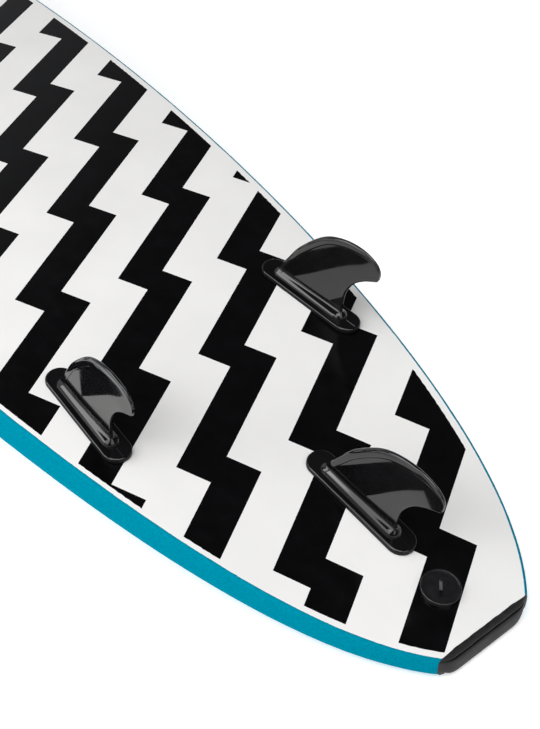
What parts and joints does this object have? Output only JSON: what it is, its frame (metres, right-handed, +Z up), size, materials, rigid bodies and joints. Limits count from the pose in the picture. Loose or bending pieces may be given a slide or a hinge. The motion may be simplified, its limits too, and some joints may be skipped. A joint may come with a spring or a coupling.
{
  "type": "surfboard",
  "caption": "Soft-top foam surfboard with a squash tail, bolt-on fins, a slotted leash plug and a zigzag-printed slick bottom, lying on its deck.",
  "frame": {"origin": "under the middle of the board, at the level of the flats of both bumpers that it rests on", "axes": "+X from tail to nose, +Y to the fin called left, +Z up out of the bottom: the board lies on its deck with the fins up"},
  "size_m": [2.438, 0.5846, 0.2034],
  "materials": {
    "slick": "gloss",
    "foam_skin": "matte",
    "core_foam": "matte",
    "ply": "matte",
    "bumper_rubber": "matte",
    "fin_plastic": "gloss",
    "plug_plastic": "satin",
    "screw_plastic": "satin",
    "brass": "satin",
    "steel": "satin"
  },
  "bodies": {
    "board": {"deck_skin": "foam_skin", "slick_bottom": "slick", "foam_core_centre": "core_foam", "foam_core_left": "core_foam", "foam_core_right": "core_foam", "stringer_left": "ply", "stringer_right": "ply", "tail_bumper": "bumper_rubber", "nose_bumper": "bumper_rubber", "leash_plug": "plug_plastic", "leash_bar": "steel", "centre_fin_sleeves": "plug_plastic", "centre_fin_washers": "steel", "left_fin_sleeves": "plug_plastic", "left_fin_washers": "steel", "right_fin_sleeves": "plug_plastic", "right_fin_washers": "steel"},
    "centre_fin": {"centre_fin": "fin_plastic", "centre_fin_inserts": "brass"},
    "centre_fin_screw_front": {"centre_fin_screw_front": "screw_plastic"},
    "centre_fin_screw_rear": {"centre_fin_screw_rear": "screw_plastic"},
    "left_fin": {"left_fin": "fin_plastic", "left_fin_inserts": "brass"},
    "left_fin_screw_front": {"left_fin_screw_front": "screw_plastic"},
    "left_fin_screw_rear": {"left_fin_screw_rear": "screw_plastic"},
    "right_fin": {"right_fin": "fin_plastic", "right_fin_inserts": "brass"},
    "right_fin_screw_front": {"right_fin_screw_front": "screw_plastic"},
    "right_fin_screw_rear": {"right_fin_screw_rear": "screw_plastic"},
    "leash_plug_cap": {"leash_plug_cap": "plug_plastic"}
  },
  "joints": [
    {"name": "centre_fin_pull", "type": "slide", "parent": "board", "child": "centre_fin", "axis": [-0.1206, 0, 0.9927], "range_m": [0, 0.04]},
    {"name": "centre_screw_front_turn", "type": "hinge", "parent": "board", "child": "centre_fin_screw_front", "pos_m": [-0.98869, 0, 0.01252], "axis": [-0.1206, 0, 0.9927], "continuous": true},
    {"name": "centre_screw_rear_turn", "type": "hinge", "parent": "board", "child": "centre_fin_screw_rear", "pos_m": [-1.06477, 0, 0.00856], "axis": [-0.1206, 0, 0.9927], "continuous": true},
    {"name": "left_fin_pull", "type": "slide", "parent": "board", "child": "left_fin", "axis": [-0.0878, 0, 0.9961], "range_m": [0, 0.04]},
    {"name": "left_screw_front_turn", "type": "hinge", "parent": "board", "child": "left_fin_screw_front", "pos_m": [-0.72439, 0.15649, 0.02846], "axis": [-0.0878, 0, 0.9961], "continuous": true},
    {"name": "left_screw_rear_turn", "type": "hinge", "parent": "board", "child": "left_fin_screw_rear", "pos_m": [-0.80032, 0.16151, 0.02632], "axis": [-0.0878, 0, 0.9961], "continuous": true},
    {"name": "right_fin_pull", "type": "slide", "parent": "board", "child": "right_fin", "axis": [-0.0878, 0, 0.9961], "range_m": [0, 0.04]},
    {"name": "right_screw_front_turn", "type": "hinge", "parent": "board", "child": "right_fin_screw_front", "pos_m": [-0.72439, -0.15649, 0.02846], "axis": [-0.0878, 0, 0.9961], "continuous": true},
    {"name": "right_screw_rear_turn", "type": "hinge", "parent": "board", "child": "right_fin_screw_rear", "pos_m": [-0.80032, -0.16151, 0.02632], "axis": [-0.0878, 0, 0.9961], "continuous": true},
    {"name": "leash_cap_turn", "type": "hinge", "parent": "board", "child": "leash_plug_cap", "pos_m": [-1.1568, 0.005, 0.0419], "axis": [-0.1373, 0, 0.9905], "continuous": true}
  ]
}
